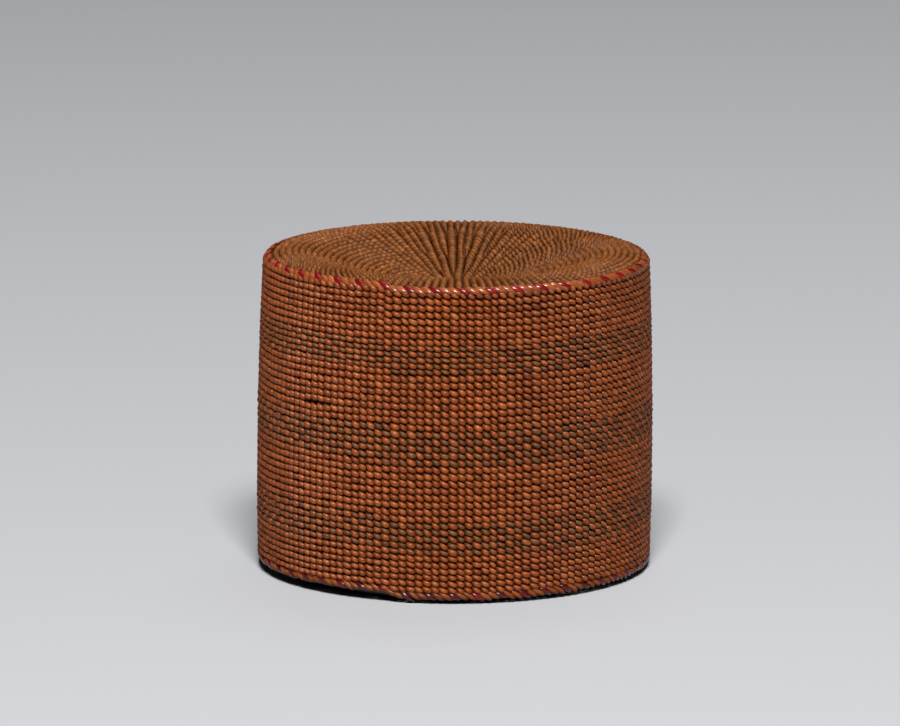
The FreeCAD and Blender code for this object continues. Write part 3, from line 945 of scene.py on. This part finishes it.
def rounded_section(corners):
    """Points of a section, with each corner (radius, height, rounding) turned into a small arc, and how
    worn each point is."""
    points, edges = [], []
    count = len(corners)
    for place in range(count):
        here = np.array(corners[place][:2])
        rounding = corners[place][2]
        before = np.array(corners[place - 1][:2]) - here
        after = np.array(corners[(place + 1) % count][:2]) - here
        if rounding == 0:
            points.append(here)
            edges.append(0.0)
            continue
        before = before / np.linalg.norm(before) * rounding
        after = after / np.linalg.norm(after) * rounding
        for share in np.linspace(0, 1, ROUND_STEPS):
            points.append(here + before * (1 - share) ** 2 + after * share ** 2)
            edges.append(math.sin(math.pi * (EDGE_WEAR + (1 - 2 * EDGE_WEAR) * share)))
    return np.array(points), np.array(edges)


def add_turned(name, corners, material):
    """A closed body turned about the caddy's axis, from a section that starts and ends on the axis."""
    section, edges = rounded_section(corners)
    ring = section[1:-1]
    count = len(ring)
    turns = 2 * np.pi * np.arange(LATHE_STEPS)[:, None] / LATHE_STEPS
    heights = np.broadcast_to(ring[:, 1], (LATHE_STEPS, count))
    turned = np.stack([ring[:, 0] * np.cos(turns), ring[:, 0] * np.sin(turns), heights], axis=-1)
    poles = [(0, 0, section[0][1]), (0, 0, section[-1][1])]
    first_pole, last_pole = LATHE_STEPS * count, LATHE_STEPS * count + 1
    faces = []
    for step in range(LATHE_STEPS):
        here, after = step * count, (step + 1) % LATHE_STEPS * count
        faces.append((first_pole, after, here))
        for place in range(count - 1):
            faces.append((here + place, after + place, after + place + 1, here + place + 1))
        faces.append((here + count - 1, after + count - 1, last_pole))
    piece = add_mesh_object(name, np.concatenate([turned.reshape(-1, 3), poles]), faces, [material])
    values = np.concatenate([np.tile(edges[1:-1], LATHE_STEPS), [0, 0]]).astype(np.float32)
    piece.data.attributes.new("edge", "FLOAT", "POINT").data.foreach_set("value", values)
    return piece


class BuildVessel(bpy.types.Operator):
    """Turn the lacquered vessel"""
    bl_idname = "caddy.build_vessel"
    bl_label = "Vessel"

    def execute(self, context):
        outside, lip = radius_of("vessel_wall"), top_of("vessel_wall")
        mouth = radius_of("inner_lid_disc") + SEAT_GAP
        bore = radius_of("inner_lid_rim") + SEAT_GAP
        ledge = foot_of("inner_lid_disc")
        floor_top = top_of("vessel_base")
        corners = ((0.0, 0.0, 0), (outside, 0.0, 0.6 * MM), (outside, lip, 0.7 * MM),
                   (mouth, lip, 0.5 * MM), (mouth, ledge, 0.15 * MM), (bore, ledge, 0.3 * MM),
                   (bore, floor_top, 1.2 * MM), (0.0, floor_top, 0))
        piece = add_turned("turned_vessel", corners, black_lacquer(get_colours()))
        dress(piece, VESSEL, "black_lacquer", "vessel_wall", "vessel_base")
        return {"FINISHED"}


class BuildInnerLid(bpy.types.Operator):
    """Turn the lacquered inner lid with its knob"""
    bl_idname = "caddy.build_inner_lid"
    bl_label = "Inner lid"

    def execute(self, context):
        disc, foot, top = radius_of("inner_lid_disc"), foot_of("inner_lid_disc"), top_of("inner_lid_disc")
        rim, rim_foot = radius_of("inner_lid_rim"), foot_of("inner_lid_rim")
        knob, knob_top = radius_of("inner_lid_knob"), top_of("inner_lid_knob")
        rim_inside, neck_top = rim - LID_RIM_WALL, top + NECK_HEIGHT
        corners = ((0.0, foot, 0), (rim_inside, foot, 0.3 * MM), (rim_inside, rim_foot, 0.4 * MM),
                   (rim, rim_foot, 0.4 * MM), (rim, foot, 0.2 * MM), (disc, foot, 0.3 * MM),
                   (disc, top, 0.6 * MM), (NECK_RADIUS, top, 0.8 * MM), (NECK_RADIUS, neck_top, 0.6 * MM),
                   (knob, neck_top, 0.8 * MM), (knob, knob_top, 1.3 * MM), (0.0, knob_top, 0))
        piece = add_turned("turned_inner_lid", corners, black_lacquer(get_colours()))
        dress(piece, INNER_LID, "black_lacquer", "inner_lid_disc", "inner_lid_rim", "inner_lid_knob")
        return {"FINISHED"}


# Stage

FLOOR_HALF = 4.0
WORLD_STRENGTH = 0.07
# Name, place, side and watts of each softbox, and the height at which they aim.
SOFTBOXES = (("key_softbox", (0.05, -1.65, 2.05), 0.7, 122.0),
             ("front_fill", (0.9, -1.5, 0.8), 1.0, 0.5),
             ("back_sheet", (0.2, 0.9, 2.2), 1.2, 8.0))
SOFTBOX_AIM = 40 * MM
CAMERA_DISTANCE = 1.6047
CAMERA_RISE = math.radians(10.89)
CAMERA_AIM = (-0.99 * MM, 0.0, 43.37 * MM)
CAMERA_REACH = 50
PIXELS_PER_METRE = 4696.0
IMAGE_WIDTH = 900
SENSOR_WIDTH = 36.0


def add_area_light(name, place, side, power):
    """A square softbox that faces the middle of the caddy."""
    lamp = bpy.data.lights.new(name, "AREA")
    lamp.size = side
    lamp.energy = power
    holder = bpy.data.objects.new(name, lamp)
    bpy.context.scene.collection.objects.link(holder)
    holder.location = place
    aim = [target - here for target, here in zip((0, 0, SOFTBOX_AIM), place)]
    flat = math.hypot(aim[0], aim[1])
    holder.rotation_euler = (math.atan2(flat, -aim[2]), 0, math.atan2(aim[1], aim[0]) - math.pi / 2)


class BuildStage(bpy.types.Operator):
    """Set up the pale floor, the soft lights and the camera"""
    bl_idname = "caddy.build_stage"
    bl_label = "Stage"

    def execute(self, context):
        scene = context.scene
        colours = get_colours()
        scene.view_settings.view_transform = "Standard"
        corners = FLOOR_HALF * np.array([(-1, -1, 0), (1, -1, 0), (1, 1, 0), (-1, 1, 0)])
        floor = add_mesh_object("studio_floor", corners, [(0, 1, 2, 3)], [paper_floor(colours)])
        for softbox in SOFTBOXES:
            add_area_light(*softbox)
        world = bpy.data.worlds.new("studio_world")
        world.use_nodes = True
        tree = world.node_tree
        tree.nodes.clear()
        glow = add_node(tree, "ShaderNodeBackground", inputs={
            "Color": (*colours.floor, 1), "Strength": WORLD_STRENGTH})
        add_node(tree, "ShaderNodeOutputWorld", inputs={"Surface": glow.outputs["Background"]})
        scene.world = world
        camera = bpy.data.cameras.new("studio_camera")
        camera.sensor_width = SENSOR_WIDTH
        camera.lens = PIXELS_PER_METRE * CAMERA_DISTANCE * SENSOR_WIDTH / IMAGE_WIDTH
        camera.clip_end = CAMERA_REACH
        eye = bpy.data.objects.new("studio_camera", camera)
        scene.collection.objects.link(eye)
        eye.location = (CAMERA_AIM[0], CAMERA_AIM[1] - CAMERA_DISTANCE * math.cos(CAMERA_RISE),
                        CAMERA_AIM[2] + CAMERA_DISTANCE * math.sin(CAMERA_RISE))
        eye.rotation_euler = (math.pi / 2 - CAMERA_RISE, 0, 0)
        scene.camera = eye
        return {"FINISHED"}


class CaddyPanel(bpy.types.Panel):
    """Sizes, colours and pieces of the caddy"""
    bl_idname = "VIEW3D_PT_caddy"
    bl_label = "Tea Caddy"
    bl_space_type = "VIEW_3D"
    bl_region_type = "UI"
    bl_category = "Caddy"

    def draw(self, context):
        for group in (context.scene.caddy_shape, context.scene.caddy_colours):
            for name in group.__annotations__:
                self.layout.prop(group, name)
        for operator in OPERATORS:
            self.layout.operator(operator.bl_idname)


OPERATORS = (BuildStage, BuildVessel, BuildInnerLid, DressUprights, BuildDish, BuildWall, BuildLining,
             BuildRimCord, BuildFootCord)
CLASSES = (CaddyShape, CaddyColours) + OPERATORS + (CaddyPanel,)


def register():
    for item in CLASSES:
        bpy.utils.register_class(item)
    bpy.types.Scene.caddy_shape = bpy.props.PointerProperty(type=CaddyShape)
    bpy.types.Scene.caddy_colours = bpy.props.PointerProperty(type=CaddyColours)


def unregister():
    del bpy.types.Scene.caddy_shape
    del bpy.types.Scene.caddy_colours
    for item in reversed(CLASSES):
        bpy.utils.unregister_class(item)


def main():
    register()
    bpy.ops.caddy.build_stage()
    bpy.ops.caddy.build_vessel()
    bpy.ops.caddy.build_inner_lid()
    bpy.ops.caddy.dress_uprights()
    bpy.ops.caddy.build_dish()
    bpy.ops.caddy.build_wall()
    bpy.ops.caddy.build_lining()
    bpy.ops.caddy.build_rim_cord()
    bpy.ops.caddy.build_foot_cord()


if __name__ == "__main__":
    main()
